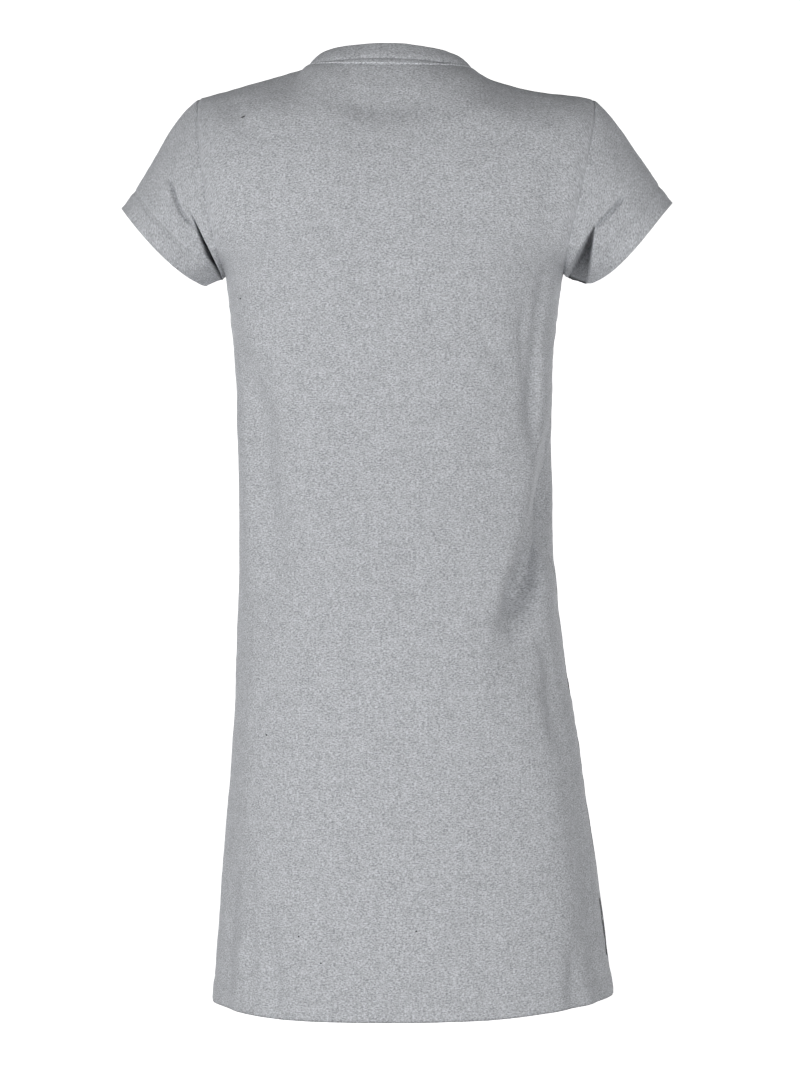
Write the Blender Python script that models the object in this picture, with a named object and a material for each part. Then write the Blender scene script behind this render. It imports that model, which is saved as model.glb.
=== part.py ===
"""A short-sleeved jersey house dress, filled out as if worn, made of its five cut pieces.

Metres, +Z up. The wearer faces -Y, so the back is towards +Y and the wearer's left is +X.
The origin lies midway between the two points where the shoulder seams meet the collar.
The cloth is lofted as one outer skin, so that neighbouring pieces share their seam lines.
Each piece is then cut out of that skin, drawn back from its seams and given its thickness.
"""

import math
from collections import namedtuple

import bmesh
import bpy
import numpy as np

# Cloth
JERSEY_THICKNESS = 0.0015
RIB_THICKNESS = 0.0024
SEAM_GAP = 0.0004
LEAST_CORNER = 0.4
JERSEY_COLOUR = (0.42, 0.43, 0.45, 1.0)
RIB_COLOUR = (0.38, 0.39, 0.41, 1.0)

# Grid of the skin
PANEL_COLUMNS = 28
SHOULDER_COLUMNS = 7
SKIRT_ROWS = 20
YOKE_ROWS = (3, 3, 3, 3, 4)
SLEEVE_ROWS = 12
COLLAR_ROWS = 3
ARC_SAMPLES = 240
EASE_PASSES = 6
EASE_ROWS_BELOW = 3
EASE_ROWS_ABOVE = 8
SHARP_EDGE = math.radians(50)

# Horizontal rings of the body from the hem up to the underarm
Ring = namedtuple("Ring", "height half_width shift back front squareness")
RINGS = (
    Ring(-0.8508, 0.1840, -0.0154, 0.127, 0.124, 2.25),
    Ring(-0.737, 0.1725, -0.0117, 0.119, 0.120, 2.25),
    Ring(-0.627, 0.1600, -0.0075, 0.113, 0.117, 2.25),
    Ring(-0.516, 0.1495, -0.0033, 0.105, 0.114, 2.25),
    Ring(-0.406, 0.1440, -0.0005, 0.091, 0.112, 2.25),
    Ring(-0.351, 0.1435, 0.0008, 0.087, 0.113, 2.25),
    Ring(-0.295, 0.1449, 0.0022, 0.089, 0.117, 2.30),
    Ring(-0.240, 0.1495, 0.0031, 0.095, 0.119, 2.42),
    Ring(-0.190, 0.1550, 0.0023, 0.099, 0.115, 2.60),
)
SEAM_SWING = math.radians(8)
HEM_TILT = 0.024

# Levels of the two panels above the underarm, between the armholes
Level = namedtuple("Level", "middle_height edge_height left_x right_x edge_y depth")
BACK_LEVELS = (
    Level(-0.162, -0.174, 0.1590, 0.1575, 0.044, 0.0985),
    Level(-0.125, -0.136, 0.1665, 0.1670, 0.058, 0.0975),
    Level(-0.084, -0.094, 0.1735, 0.1760, 0.056, 0.0905),
    Level(-0.042, -0.054, 0.1800, 0.1820, 0.036, 0.0745),
)
FRONT_LEVELS = (
    Level(-0.168, -0.174, 0.1565, 0.1565, 0.044, 0.1110),
    Level(-0.146, -0.136, 0.1610, 0.1620, 0.060, 0.1055),
    Level(-0.122, -0.094, 0.1690, 0.1725, 0.062, 0.0985),
    Level(-0.098, -0.054, 0.1775, 0.1790, 0.045, 0.0890),
)
LEVEL_SQUARENESS = 2.25
EDGE_TURN_POWER = 8
RISE_STEP = 0.005

# Shoulder seams and neckline
NECK_SHIFT = 0.006
NECK_HALF_WIDTH = 0.077
NECK_RISE_LEFT = 0.0015
NECK_POINT_Y = -0.008
BACK_NECK = (0.052, 0.000)
FRONT_NECK = (-0.080, -0.076)
Shoulder = namedtuple("Shoulder", "x y z sag")
LEFT_SHOULDER = Shoulder(0.1830, -0.012, -0.0245, 0.000)
RIGHT_SHOULDER = Shoulder(-0.1805, -0.012, -0.0305, 0.006)
SHOULDER_TILT = math.radians(8)
BACK_NECK_LEAN = math.radians(28)
FRONT_NECK_LEAN = math.radians(25)

# Rib collar
COLLAR_HEIGHT = 0.0155
COLLAR_LEAN_BACK = math.radians(20)
COLLAR_LEAN_SIDE = math.radians(34)
COLLAR_LEAN_FRONT = math.radians(42)
COLLAR_CURL = (0.75, 1.25)

# Sleeves
CUFF_CENTRE = (0.2145, 0.000, -0.1625)
CUFF_TIP_RISE = math.radians(43.4)
CUFF_RADIUS_TIP = 0.0520
CUFF_RADIUS_DEPTH = 0.0500
CUFF_DIP = 0.0015
LEFT_CUFF_TILT = 0.0040
RIGHT_CUFF_TILT = 0.008
CUFF_SAG_LOW = 0.6
LEFT_CAP_SPREAD = 0.45
RIGHT_CAP_SPREAD = 0.27
CAP_START = 0.10
CAP_RISE = 0.55
CUFF_REACH = 0.8

# Soft folds of the body: the bearing runs from centre back towards the wearer's right
Fold = namedtuple("Fold", "bearing_top top bearing_low low width depth")
BODY_FOLDS = (
    Fold(77, -0.350, 40, -0.545, 0.024, -0.0100),
    Fold(50, -0.420, 26, -0.600, 0.040, 0.0040),
    Fold(60, -0.200, 61, -0.345, 0.011, -0.0040),
    Fold(-58, -0.270, -44, -0.480, 0.022, -0.0040),
    Fold(62, -0.560, 66, -0.860, 0.024, -0.0040),
    Fold(-62, -0.740, -58, -0.860, 0.018, -0.0030),
    Fold(0, -0.020, 0, -0.075, 0.030, -0.0030),
    Fold(128, -0.250, 138, -0.620, 0.026, -0.0060),
    Fold(-128, -0.270, -140, -0.560, 0.026, -0.0060),
    Fold(160, -0.500, 165, -0.860, 0.032, -0.0050),
    Fold(-165, -0.560, -160, -0.860, 0.030, -0.0050),
)
FOLD_END_STEEPNESS = 3
FOLD_FLAT_TOP = -0.010
FOLD_FADE = 0.030

# Deep crease of each sleeve beside the underarm, by turn round the tube and share of its length
Crease = namedtuple("Crease", "turn share depth width")
SLEEVE_CREASE = (
    Crease(0.05, 0.22, -0.007, 0.007),
    Crease(0.14, 0.24, -0.009, 0.009),
    Crease(0.24, 0.29, -0.005, 0.010),
    Crease(0.34, 0.33, 0.000, 0.010),
)
CREASE_SEAM_FADE = 6
CREASE_CUFF_FADE = 4


def unit(vectors):
    """Vectors scaled to length one, along the last axis."""
    vectors = np.asarray(vectors, float)
    return vectors / np.maximum(np.linalg.norm(vectors, axis=-1, keepdims=True), 1e-12)


def smooth_step(value):
    value = np.clip(value, 0.0, 1.0)
    return value * value * (3 - 2 * value)


def hermite(start, start_slope, end, end_slope, share):
    """Cubic between two points with a slope at each."""
    a = 2 * share**3 - 3 * share**2 + 1
    b = share**3 - 2 * share**2 + share
    c = -2 * share**3 + 3 * share**2
    d = share**3 - share**2
    return a * start + b * start_slope + c * end + d * end_slope


def knot_slopes(points, knots, first=None, last=None):
    """Slope at each knot of a smooth curve through the points."""
    steps = np.diff(knots)
    chords = np.diff(points, axis=0) / steps.reshape((-1,) + (1,) * (points.ndim - 1))
    slopes = np.empty_like(points)
    slopes[0] = chords[0] if first is None else first
    slopes[-1] = chords[-1] if last is None else last
    for k in range(1, len(points) - 1):
        weight = steps[k - 1] / (steps[k - 1] + steps[k])
        slopes[k] = chords[k - 1] * (1 - weight) + chords[k] * weight
    return slopes


def curve_at(points, knots, slopes, where):
    """Point of that curve at one knot value."""
    k = int(np.clip(np.searchsorted(knots, where) - 1, 0, len(knots) - 2))
    step = knots[k + 1] - knots[k]
    share = (where - knots[k]) / step
    return hermite(points[k], slopes[k] * step, points[k + 1], slopes[k + 1] * step, share)


def even_points(line, shares):
    """Points of a dense line at the given shares of its length."""
    lengths = np.concatenate([[0.0], np.cumsum(np.linalg.norm(np.diff(line, axis=0), axis=1))])
    places = np.asarray(shares) * lengths[-1]
    return np.stack([np.interp(places, lengths, line[:, axis]) for axis in range(3)], axis=1)


RING_HEIGHTS = np.array([ring.height for ring in RINGS])
RING_SIZES = np.array([ring[1:] for ring in RINGS])
RING_SLOPES = knot_slopes(RING_SIZES, RING_HEIGHTS)
HEM = RING_HEIGHTS[0]
UNDERARM = RING_HEIGHTS[-1]


def ring_sizes(height):
    return curve_at(RING_SIZES, RING_HEIGHTS, RING_SLOPES, min(max(height, HEM), UNDERARM))


def skirt_share(height):
    """How far down the skirt a height is: 0 at the underarm, 1 at the hem."""
    return (UNDERARM - height) / (UNDERARM - HEM)


def squared(angle, squareness):
    """Unit rounded rectangle: its two coordinates at an angle."""
    power = 2 / squareness
    across = np.sign(np.cos(angle)) * np.abs(np.cos(angle)) ** power
    along = np.sign(np.sin(angle)) * np.abs(np.sin(angle)) ** power
    return across, along


def ring_point(angle, height):
    """Point of the body's ring; the angle runs from the wearer's left over the back."""
    half_width, shift, back, front, squareness = ring_sizes(height)
    across, along = squared(angle, squareness)
    x = shift + half_width * across
    y = np.where(along > 0, back, front) * along
    z = height - HEM_TILT * smooth_step(skirt_share(height)) * x
    return np.stack([x, y, z], axis=-1)


def ring_half(height, side, columns):
    """Back (side 1) or front (side -1) half of a ring, from the wearer's right to the left."""
    right = math.pi - SEAM_SWING * smooth_step(skirt_share(height))
    left = 0.0 if side > 0 else 2 * math.pi
    angles = np.linspace(right, left, ARC_SAMPLES)
    return even_points(ring_point(angles, height), columns)


def level_half(level, side, columns):
    """A panel's level above the underarm, from the wearer's right armhole to the left one."""
    first = math.asin((level.edge_y / level.depth) ** (LEVEL_SQUARENESS / 2))
    across, along = squared(np.linspace(math.pi - first, first, ARC_SAMPLES), LEVEL_SQUARENESS)
    across = across / across.max()
    x = across * np.where(across > 0, level.left_x, level.right_x)
    z = level.middle_height + (level.edge_height - level.middle_height) * across**2
    return even_points(np.stack([x, side * level.depth * along, z], axis=1), columns)


def neckline(neck, share):
    """Point of the neck seam; the share runs from the right neck point (-1) to the left one (1)."""
    turn = share * math.pi / 2
    depth = math.cos(turn)
    return np.array([
        NECK_SHIFT + NECK_HALF_WIDTH * math.sin(turn),
        NECK_POINT_Y + (neck[0] - NECK_POINT_Y) * depth,
        neck[1] * depth + NECK_RISE_LEFT * math.sin(turn),
    ])


def shoulder_seam(hand, share):
    """Point of a shoulder seam; the share runs from the neck point to the shoulder point."""
    shoulder = LEFT_SHOULDER if hand > 0 else RIGHT_SHOULDER
    start = neckline(BACK_NECK, hand)
    point = start + (np.array(shoulder[:3]) - start) * share
    point[2] -= shoulder.sag * math.sin(math.pi * share ** 0.7)
    return point


def top_edge(side):
    """Top of a panel, column by column, and the direction in which its cloth arrives there."""
    half = PANEL_COLUMNS // 2
    neck_columns = half - SHOULDER_COLUMNS
    neck, lean = (BACK_NECK, BACK_NECK_LEAN) if side > 0 else (FRONT_NECK, FRONT_NECK_LEAN)
    over = np.array([0.0, -side * math.cos(SHOULDER_TILT), -side * math.sin(SHOULDER_TILT)])
    up = np.array([0.0, -side * math.sin(lean), math.cos(lean)])
    points, arrivals = [], []
    for column in range(-half, half + 1):
        place = abs(column)
        if place <= neck_columns:
            points.append(neckline(neck, column / neck_columns))
        else:
            points.append(shoulder_seam(column // place, (place - neck_columns) / SHOULDER_COLUMNS))
        turned = smooth_step(place / neck_columns)
        arrivals.append(unit(up * (1 - turned) + over * turned))
    return np.array(points), np.array(arrivals)


def panel_columns():
    return np.linspace(0, 1, PANEL_COLUMNS + 1)


def skirt_rows(side):
    heights = np.linspace(HEM, UNDERARM, SKIRT_ROWS + 1)
    return [ring_half(height, side, panel_columns()) for height in heights]


def yoke_rows(side):
    """Rows of a panel from the underarm over the shoulder blade or chest to the top edge."""
    columns = panel_columns()
    levels = BACK_LEVELS if side > 0 else FRONT_LEVELS
    top, arrivals = top_edge(side)
    middle = [level_half(level, side, columns) for level in levels]
    lines = np.array([ring_half(UNDERARM, side, columns)] + middle + [top])
    spans = np.linalg.norm(np.diff(lines, axis=0), axis=2).mean(axis=1)
    knots = np.concatenate([[0.0], np.cumsum(spans)])
    rising = unit(lines[0] - ring_half(UNDERARM - RISE_STEP, side, columns))
    outward = unit(lines[1] - lines[0])
    edge = (np.abs(2 * columns - 1) ** EDGE_TURN_POWER)[:, None]
    slopes = knot_slopes(lines, knots, rising * (1 - edge) + outward * edge, arrivals)
    rows = []
    for k, count in enumerate(YOKE_ROWS):
        for n in range(1, count + 1):
            where = knots[k] + (knots[k + 1] - knots[k]) * n / count
            rows.append(curve_at(lines, knots, slopes, where))
    return rows


def fold_push(points):
    """Body points moved in or out, level, by the soft folds."""
    moved = points.copy()
    for index in np.ndindex(points.shape[:-1]):
        x, y, z = points[index]
        half_width, shift, back, front, _ = ring_sizes(z)
        depth = back if y > 0 else front
        bearing = math.degrees(math.atan2(-(x - shift) / half_width, y / depth))
        outward = unit([(x - shift) / half_width**2, y / depth**2, 0.0])
        radius = math.hypot(x, y)
        push = 0.0
        for fold in BODY_FOLDS:
            share = (z - fold.top) / (fold.low - fold.top)
            middle = fold.bearing_top + (fold.bearing_low - fold.bearing_top) * min(max(share, 0), 1)
            aside = (bearing - middle + 180) % 360 - 180
            fade = smooth_step(share * FOLD_END_STEEPNESS + 0.5)
            fade *= smooth_step((1 - share) * FOLD_END_STEEPNESS + 0.5)
            push += fold.depth * fade * math.exp(-((math.radians(aside) * radius / fold.width) ** 2))
        moved[index] += outward * push
    return moved


def eased(grid):
    """Rows about the underarm evened out in depth, so that no ridge runs along a level."""
    rows = slice(SKIRT_ROWS - EASE_ROWS_BELOW, SKIRT_ROWS + EASE_ROWS_ABOVE)
    height = grid[rows, 1:-1, 2]
    depth = grid[rows, 1:-1, 1]
    below = height[1:-1] - height[:-2]
    above = height[2:] - height[1:-1]
    for _ in range(EASE_PASSES):
        between = (depth[:-2] * above + depth[2:] * below) / (above + below)
        depth[1:-1] += (between - depth[1:-1]) / 2
    return grid


def panel(side):
    grid = eased(np.array(skirt_rows(side) + yoke_rows(side)))
    pushed = fold_push(grid)
    keep = smooth_step((FOLD_FLAT_TOP - grid[..., 2:]) / FOLD_FADE)
    return grid + (pushed - grid) * keep


def armhole(back, front, hand):
    """Loop of an armhole from the underarm up the back, and the cloth's direction across it."""
    column, inner = (-1, -2) if hand > 0 else (0, 1)
    up = list(range(SKIRT_ROWS, len(back)))
    down = list(reversed(range(SKIRT_ROWS + 1, len(front) - 1)))
    loop = np.array([back[row][column] for row in up] + [front[row][column] for row in down])
    inside = np.array([back[row][inner] for row in up] + [front[row][inner] for row in down])
    return loop, unit(loop - inside)


def loop_turns(loop):
    """Share of a turn for each point of an armhole: 0 at the underarm, 0.5 at the shoulder."""
    closed = np.vstack([loop, loop[:1]])
    lengths = np.concatenate([[0.0], np.cumsum(np.linalg.norm(np.diff(closed, axis=0), axis=1))])
    top = len(loop) // 2
    rising = 0.5 * lengths[:top + 1] / lengths[top]
    falling = 0.5 + 0.5 * (lengths[top + 1:-1] - lengths[top]) / (lengths[-1] - lengths[top])
    return np.concatenate([rising, falling])


def cuff_ring(turns, hand):
    """Free edge of a sleeve, and the way the arm leaves it."""
    angle = 2 * math.pi * turns
    towards_tip = np.array([hand * math.cos(CUFF_TIP_RISE), 0.0, math.sin(CUFF_TIP_RISE)])
    leaving = np.array([hand * math.sin(CUFF_TIP_RISE), 0.0, -math.cos(CUFF_TIP_RISE)])
    centre = np.array(CUFF_CENTRE) * (hand, 1, 1)
    ring = centre - np.cos(angle)[:, None] * CUFF_RADIUS_TIP * towards_tip
    ring[:, 1] += CUFF_RADIUS_DEPTH * np.sin(angle)
    tilt = LEFT_CUFF_TILT if hand > 0 else RIGHT_CUFF_TILT
    dip = CUFF_DIP * np.sin(angle) ** 2 + tilt * np.sin(angle)
    dip *= 1 + CUFF_SAG_LOW * np.cos(angle)
    return ring + leaving * dip[:, None], leaving


def crease_depth(turns, share, reach):
    """How far the sleeve's crease presses the cloth in, round one row of the sleeve."""
    low = np.minimum(turns, 1 - turns)
    marks = np.array(SLEEVE_CREASE).T
    middle, depth, width = (np.interp(low, marks[0], values) for values in marks[1:])
    edge = smooth_step(share * CREASE_SEAM_FADE) * smooth_step((1 - share) * CREASE_CUFF_FADE)
    return depth * edge * np.exp(-(((share - middle) * reach / width) ** 2))


def sleeve(back, front, hand):
    """Sleeve from the armhole to the cuff, as rows of closed loops."""
    loop, across = armhole(back, front, hand)
    turns = loop_turns(loop)
    cuff, leaving = cuff_ring(turns, hand)
    chord = cuff - loop
    reach = np.linalg.norm(chord, axis=1, keepdims=True)
    low = np.minimum(turns, 1 - turns)[:, None] * 2
    spread = LEFT_CAP_SPREAD if hand > 0 else RIGHT_CAP_SPREAD
    follow = smooth_step((low - CAP_START) / CAP_RISE) * spread
    start = unit(across * follow + unit(chord) * (1 - follow))
    end = unit(unit(chord) + leaving)
    rows = []
    for row in range(SLEEVE_ROWS + 1):
        share = row / SLEEVE_ROWS
        line = hermite(loop, start * reach, cuff, end * reach * CUFF_REACH, share)
        middle = line.mean(axis=0)
        outward = unit(line - middle - leaving * ((line - middle) @ leaving)[:, None])
        press = crease_depth(turns, share, reach[:, 0])
        rows.append(line + outward * press[:, None])
    return np.array(rows)


def collar(back, front):
    """Rib band standing on the neck seam, as rows of closed loops."""
    half = PANEL_COLUMNS // 2
    reach = half - SHOULDER_COLUMNS
    over_back = list(range(half - reach, half + reach + 1))
    over_front = list(reversed(over_back[1:-1]))
    seam = np.array([back[-1][k] for k in over_back] + [front[-1][k] for k in over_front])
    middle = np.array([NECK_SHIFT, (BACK_NECK[0] + FRONT_NECK[0]) / 2, 0.0])
    inward = middle - seam
    inward[:, 2] = 0.0
    inward = unit(inward)
    facing = inward[:, 1]
    lean = np.where(
        facing < 0,
        COLLAR_LEAN_SIDE + (COLLAR_LEAN_BACK - COLLAR_LEAN_SIDE) * facing**2,
        COLLAR_LEAN_SIDE + (COLLAR_LEAN_FRONT - COLLAR_LEAN_SIDE) * facing**2,
    )[:, None]
    rows = []
    for row in range(COLLAR_ROWS + 1):
        rise = COLLAR_HEIGHT * row / COLLAR_ROWS
        curl = lean * (COLLAR_CURL[0] + (COLLAR_CURL[1] - COLLAR_CURL[0]) * row / COLLAR_ROWS)
        rows.append(seam + inward * np.sin(curl) * rise + np.array([0, 0, 1]) * np.cos(curl) * rise)
    return np.array(rows)


def sheet_faces(rows, columns, closed):
    """Corner numbers of the four-sided faces of a grid."""
    wide = columns if closed else columns - 1
    faces = []
    for row in range(rows - 1):
        for column in range(wide):
            after = (column + 1) % columns
            faces.append((
                row * columns + column,
                row * columns + after,
                (row + 1) * columns + after,
                (row + 1) * columns + column,
            ))
    return faces


Piece = namedtuple("Piece", "name points faces thickness colour")


def make_piece(name, grid, closed, flipped, thickness, colour):
    faces = sheet_faces(grid.shape[0], grid.shape[1], closed)
    if flipped:
        faces = [tuple(reversed(face)) for face in faces]
    return Piece(name, grid.reshape(-1, 3), faces, thickness, colour)


def face_normal(points, face):
    a, b, c, d = (points[k] for k in face)
    return np.cross(c - a, d - b)


def seam_key(point):
    return tuple(np.round(point, 6))


def shared_normals(pieces):
    """Normal at each place of the whole skin, taken across the seams."""
    sums = {}
    for piece in pieces:
        for face in piece.faces:
            normal = face_normal(piece.points, face)
            for corner in face:
                key = seam_key(piece.points[corner])
                sums[key] = sums.get(key, np.zeros(3)) + normal
    return {key: unit(total) for key, total in sums.items()}


def open_edges(faces):
    """Edges used by one face only, in that face's order, with the face."""
    used = {}
    for face in faces:
        for a, b in zip(face, face[1:] + face[:1]):
            used.setdefault(frozenset((a, b)), []).append((a, b, face))
    return [found[0] for found in used.values() if len(found) == 1]


def drawn_back(piece):
    """The piece's points with its edges moved half a seam gap into the piece."""
    pulls = {}
    for a, b, face in open_edges(piece.faces):
        along = unit(piece.points[b] - piece.points[a])
        inside = np.mean([piece.points[k] for k in face], axis=0) - piece.points[a]
        inward = unit(inside - along * (inside @ along))
        pulls.setdefault(a, []).append(inward)
        pulls.setdefault(b, []).append(inward)
    points = piece.points.copy()
    for corner, inwards in pulls.items():
        way = unit(np.sum(inwards, axis=0))
        points[corner] += way * SEAM_GAP / 2 / max(float(way @ inwards[0]), LEAST_CORNER)
    return points


def wall_mesh(piece, normals):
    """Closed wall of one piece: the skin, its inner side and the cut edges between them."""
    outer = drawn_back(piece)
    depth = np.array([normals[seam_key(point)] for point in piece.points]) * piece.thickness
    bm = bmesh.new()
    skin = [bm.verts.new(point) for point in outer]
    inside = [bm.verts.new(point) for point in outer - depth]
    for face in piece.faces:
        bm.faces.new([skin[k] for k in face])
        bm.faces.new([inside[k] for k in reversed(face)])
    for a, b, _ in open_edges(piece.faces):
        bm.faces.new([skin[b], skin[a], inside[a], inside[b]])
    bmesh.ops.triangulate(bm, faces=bm.faces)
    mesh = bpy.data.meshes.new(piece.name)
    bm.to_mesh(mesh)
    bm.free()
    mesh.shade_smooth()
    mesh.set_sharp_from_angle(angle=SHARP_EDGE)
    return mesh


def cloth_material(name, colour):
    material = bpy.data.materials.new(name)
    material.use_nodes = True
    shader = material.node_tree.nodes["Principled BSDF"]
    shader.inputs["Base Color"].default_value = colour
    shader.inputs["Roughness"].default_value = 0.9
    shader.inputs["Metallic"].default_value = 0.0
    return material


def dress_pieces():
    back = panel(1)
    front = panel(-1)
    left = sleeve(back, front, 1)
    right = sleeve(back, front, -1)
    band = collar(back, front)
    return (
        make_piece("back_panel", back, False, True, JERSEY_THICKNESS, JERSEY_COLOUR),
        make_piece("front_panel", front, False, False, JERSEY_THICKNESS, JERSEY_COLOUR),
        make_piece("left_sleeve", left, True, False, JERSEY_THICKNESS, JERSEY_COLOUR),
        make_piece("right_sleeve", right, True, True, JERSEY_THICKNESS, JERSEY_COLOUR),
        make_piece("neck_rib", band, True, True, RIB_THICKNESS, RIB_COLOUR),
    )


def main():
    for old in list(bpy.data.objects):
        bpy.data.objects.remove(old)
    dress = bpy.data.collections.new("house_dress")
    bpy.context.scene.collection.children.link(dress)
    pieces = dress_pieces()
    normals = shared_normals(pieces)
    for piece in pieces:
        made = bpy.data.objects.new(piece.name, wall_mesh(piece, normals))
        made.data.materials.append(cloth_material(piece.name, piece.colour))
        dress.objects.link(made)


main()
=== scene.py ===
"""Looks of a grey heather jersey house dress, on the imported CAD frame.

Metres, +Z up. The wearer faces -Y, so the photograph's camera stands behind, at azimuth 184.
Each cut piece is lofted again on the fine grid of its own solid, from the same sizes, and then
gets its creases, seam ditches, turned hem, stitching and knitted cloth.
"""

import math
from collections import namedtuple

import bpy
import numpy as np
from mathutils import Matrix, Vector


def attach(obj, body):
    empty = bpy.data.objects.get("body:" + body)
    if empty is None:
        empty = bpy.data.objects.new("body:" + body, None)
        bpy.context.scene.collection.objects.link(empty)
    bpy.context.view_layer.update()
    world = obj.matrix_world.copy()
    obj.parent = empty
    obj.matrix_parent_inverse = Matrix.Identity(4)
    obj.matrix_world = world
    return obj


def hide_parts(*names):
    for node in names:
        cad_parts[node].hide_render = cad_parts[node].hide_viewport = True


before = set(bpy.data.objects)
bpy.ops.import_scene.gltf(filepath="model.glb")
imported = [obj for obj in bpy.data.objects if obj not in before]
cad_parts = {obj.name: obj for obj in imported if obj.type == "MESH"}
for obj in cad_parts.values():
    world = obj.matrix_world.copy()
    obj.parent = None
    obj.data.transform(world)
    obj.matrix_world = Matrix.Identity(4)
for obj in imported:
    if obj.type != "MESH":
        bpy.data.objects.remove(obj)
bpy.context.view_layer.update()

# Grid counts of the cloth, then sizes of the cut, which are those of the solids
NECK_COLUMNS = 44
SHOULDER_COLUMNS = 44
HALF_COLUMNS = NECK_COLUMNS + SHOULDER_COLUMNS
SKIRT_ROWS = 236
YOKE_ROWS = (18, 22, 22, 24, 46)
SLEEVE_ROWS = 84
COLLAR_ROWS = 8
ARC_SAMPLES = 900
EASE_PASSES = 260
EASE_MIDDLE = -0.185
EASE_FULL = 0.035
EASE_FADE = 0.060
EASE_EDGE = 4

Ring = namedtuple("Ring", "height half_width shift back front squareness")
RINGS = (
    Ring(-0.8508, 0.1840, -0.0154, 0.127, 0.124, 2.25),
    Ring(-0.737, 0.1725, -0.0117, 0.119, 0.120, 2.25),
    Ring(-0.627, 0.1600, -0.0075, 0.113, 0.117, 2.25),
    Ring(-0.516, 0.1495, -0.0033, 0.105, 0.114, 2.25),
    Ring(-0.406, 0.1440, -0.0005, 0.091, 0.112, 2.25),
    Ring(-0.351, 0.1435, 0.0008, 0.087, 0.113, 2.25),
    Ring(-0.295, 0.1449, 0.0022, 0.089, 0.117, 2.30),
    Ring(-0.240, 0.1495, 0.0031, 0.095, 0.119, 2.42),
    Ring(-0.190, 0.1550, 0.0023, 0.099, 0.115, 2.60),
)
SEAM_SWING = math.radians(8)
HEM_TILT = 0.024
# Lift of the hem at the sides, in the scene alone
HEM_RISE = 0.0023
HEM_RISE_FROM = 0.085
HEM_RISE_OVER = 0.080
HEM_RISE_FADE = 0.10

Level = namedtuple("Level", "middle_height edge_height left_x right_x edge_y depth")
BACK_LEVELS = (
    Level(-0.162, -0.174, 0.1590, 0.1575, 0.044, 0.0985),
    Level(-0.125, -0.136, 0.1665, 0.1670, 0.058, 0.0975),
    Level(-0.084, -0.094, 0.1735, 0.1760, 0.056, 0.0905),
    Level(-0.042, -0.054, 0.1800, 0.1820, 0.036, 0.0745),
)
FRONT_LEVELS = (
    Level(-0.168, -0.174, 0.1565, 0.1565, 0.044, 0.1110),
    Level(-0.146, -0.136, 0.1610, 0.1620, 0.060, 0.1055),
    Level(-0.122, -0.094, 0.1690, 0.1725, 0.062, 0.0985),
    Level(-0.098, -0.054, 0.1775, 0.1790, 0.045, 0.0890),
)
LEVEL_SQUARENESS = 2.25
EDGE_TURN_POWER = 8
RISE_STEP = 0.005

NECK_SHIFT = 0.006
NECK_HALF_WIDTH = 0.077
NECK_RISE_LEFT = 0.0015
NECK_POINT_Y = -0.008
BACK_NECK = (0.052, 0.000)
FRONT_NECK = (-0.080, -0.076)
Shoulder = namedtuple("Shoulder", "x y z sag")
LEFT_SHOULDER = Shoulder(0.1830, -0.012, -0.0245, 0.000)
RIGHT_SHOULDER = Shoulder(-0.1805, -0.012, -0.0305, 0.006)
SHOULDER_TILT = math.radians(8)
BACK_NECK_LEAN = math.radians(28)
FRONT_NECK_LEAN = math.radians(25)

COLLAR_HEIGHT = 0.0155
COLLAR_LEAN_BACK = math.radians(20)
COLLAR_LEAN_SIDE = math.radians(34)
COLLAR_LEAN_FRONT = math.radians(42)
COLLAR_CURL = (0.75, 1.25)
COLLAR_THICKNESS = 0.0020

CUFF_CENTRE = (0.2145, 0.000, -0.1625)
CUFF_TIP_RISE = math.radians(43.4)
CUFF_RADIUS_TIP = 0.0520
CUFF_RADIUS_DEPTH = 0.0500
CUFF_DIP = 0.0015
LEFT_CUFF_TILT = 0.0040
RIGHT_CUFF_TILT = 0.008
CUFF_SAG_LOW = 0.6
LEFT_CAP_SPREAD = 0.45
RIGHT_CAP_SPREAD = 0.27
CAP_START = 0.10
CAP_RISE = 0.55
CUFF_REACH = 0.8

# Largest folds, as in the solids; the one under the neck is shallower and higher here
Fold = namedtuple("Fold", "bearing_top top bearing_low low width depth")
BODY_FOLDS = (
    Fold(77, -0.350, 40, -0.545, 0.024, -0.0100),
    Fold(50, -0.420, 26, -0.600, 0.040, 0.0040),
    Fold(60, -0.200, 61, -0.345, 0.011, -0.0040),
    Fold(-58, -0.270, -44, -0.480, 0.022, -0.0040),
    Fold(62, -0.560, 66, -0.860, 0.024, -0.0040),
    Fold(-62, -0.740, -58, -0.860, 0.018, -0.0030),
    Fold(0, -0.012, 0, -0.060, 0.030, -0.0012),
    Fold(128, -0.250, 138, -0.620, 0.026, -0.0060),
    Fold(-128, -0.270, -140, -0.560, 0.026, -0.0060),
    Fold(160, -0.500, 165, -0.860, 0.032, -0.0050),
    Fold(-165, -0.560, -160, -0.860, 0.030, -0.0050),
)
FOLD_END_STEEPNESS = 3
FOLD_FLAT_TOP = -0.010
FOLD_FADE = 0.030

# Camera of the photograph
CAMERA_AZIMUTH = math.radians(184)
CAMERA_DISTANCE = 2.1
CAMERA_HEIGHT = -0.4273
CAMERA_ASIDE = 0.0037
VIEW_HEIGHT = 0.98164
SENSOR = 36.0

CAMERA_BACK = np.array([math.sin(CAMERA_AZIMUTH), -math.cos(CAMERA_AZIMUTH), 0.0])
CAMERA_RIGHT = np.array([math.cos(CAMERA_AZIMUTH), math.sin(CAMERA_AZIMUTH), 0.0])
CAMERA_PLACE = CAMERA_BACK * CAMERA_DISTANCE + CAMERA_RIGHT * CAMERA_ASIDE + (0.0, 0.0, CAMERA_HEIGHT)

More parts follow.
